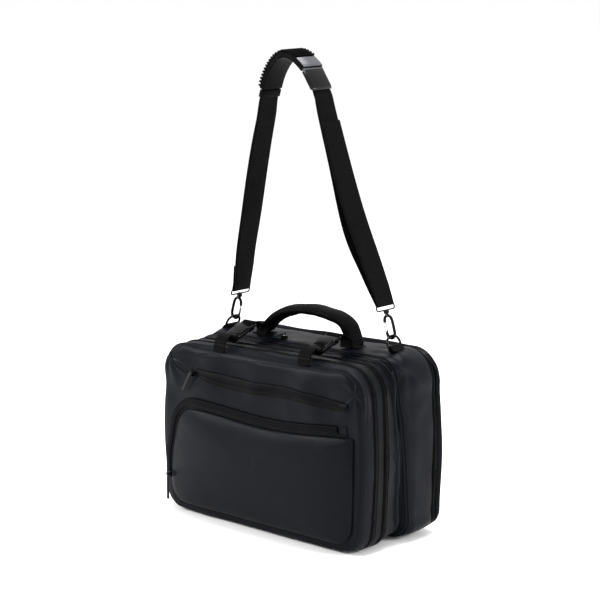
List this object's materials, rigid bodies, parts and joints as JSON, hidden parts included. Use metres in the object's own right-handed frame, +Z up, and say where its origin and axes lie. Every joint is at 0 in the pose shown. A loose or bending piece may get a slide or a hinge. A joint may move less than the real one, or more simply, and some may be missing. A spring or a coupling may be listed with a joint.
{
  "type": "expandable backpack",
  "caption": "Soft expandable carry-on backpack in briefcase form, with a folded gusset, buckled compression straps, carry handle and a padded shoulder strap on snap hooks.",
  "frame": {"origin": "underside of the shoulder pad at its highest point, where the strap hangs", "axes": "+Z up, -Y out of the bag's front, +X along its long side to the right seen from the front"},
  "size_m": [0.4676, 0.233, 0.7898],
  "materials": {
    "front_fabric": "satin coated weave",
    "side_fabric": "satin coated weave",
    "webbing": "matte ribbed weave",
    "zip": "satin",
    "pad": "matte ribbed",
    "buckle": "semi-gloss",
    "black_metal": "gloss",
    "bright_metal": "polished"
  },
  "bodies": {
    "bag": {"front_compartment": "front_fabric", "front_zip": "zip", "middle_band": "side_fabric", "expansion_zip": "zip", "gusset": "side_fabric", "rear_compartment": "side_fabric", "rear_zip": "zip", "back_panel": "side_fabric", "pocket_panel": "front_fabric", "lower_zip_coil": "zip", "lower_zip_flap": "front_fabric", "flap_end_patch": "zip", "upper_zip_flap": "front_fabric", "upper_zip_coil": "zip", "left_buckle_body": "buckle", "left_buckle_prongs": "buckle", "right_buckle_body": "buckle", "right_buckle_prongs": "buckle", "left_strap_front": "webbing", "left_strap_rear": "webbing", "right_strap_front": "webbing", "right_strap_rear": "webbing", "left_handle_foot": "webbing", "right_handle_foot": "webbing", "handle_grip": "webbing", "left_d_ring": "black_metal", "right_d_ring": "black_metal", "left_ring_tab": "webbing", "right_ring_tab": "webbing", "left_hook": "black_metal", "right_hook": "black_metal", "left_strap_loop": "black_metal", "right_strap_loop": "black_metal", "shoulder_pad": "pad", "left_strap_leg": "webbing", "right_strap_leg": "webbing", "left_pad_collar": "buckle", "right_pad_collar": "buckle", "upper_zip_slider": "black_metal", "pocket_zip_slider": "black_metal", "front_zip_slider": "black_metal", "top_zip_slider": "black_metal"},
    "left_gate": {"left_gate": "bright_metal"},
    "right_gate": {"right_gate": "bright_metal"},
    "upper_pull": {"upper_zip_pull": "black_metal"},
    "pocket_pull": {"pocket_zip_pull": "black_metal"},
    "side_pull": {"front_zip_pull": "black_metal"},
    "top_pull": {"top_zip_pull": "black_metal"}
  },
  "joints": [
    {"name": "left_gate_hinge", "type": "hinge", "parent": "bag", "child": "left_gate", "pos_m": [-0.15071, 0.026, -0.45188], "axis": [0, -1, 0], "range_deg": [0, 35], "stiffness_Nm_per_rad": 0.01, "springref_deg": -17.19},
    {"name": "right_gate_hinge", "type": "hinge", "parent": "bag", "child": "right_gate", "pos_m": [0.18271, 0.026, -0.43751], "axis": [0, 1, 0], "range_deg": [0, 35], "stiffness_Nm_per_rad": 0.01, "springref_deg": -17.19},
    {"name": "upper_pull_swing", "type": "hinge", "parent": "bag", "child": "upper_pull", "pos_m": [-0.1324, -0.11229, -0.5321], "axis": [-0.866, 0, 0.5], "range_deg": [0, 120]},
    {"name": "pocket_pull_swing", "type": "hinge", "parent": "bag", "child": "pocket_pull", "pos_m": [-0.18649, -0.11534, -0.71711], "axis": [-1, 0, 0], "range_deg": [0, 120]},
    {"name": "side_pull_swing", "type": "hinge", "parent": "bag", "child": "side_pull", "pos_m": [-0.22026, -0.0695, -0.624], "axis": [0, 1, 0], "range_deg": [0, 120]},
    {"name": "top_pull_swing", "type": "hinge", "parent": "bag", "child": "top_pull", "pos_m": [-0.032, 0.012, -0.4684], "axis": [-1, 0, 0], "range_deg": [0, 160]}
  ]
}
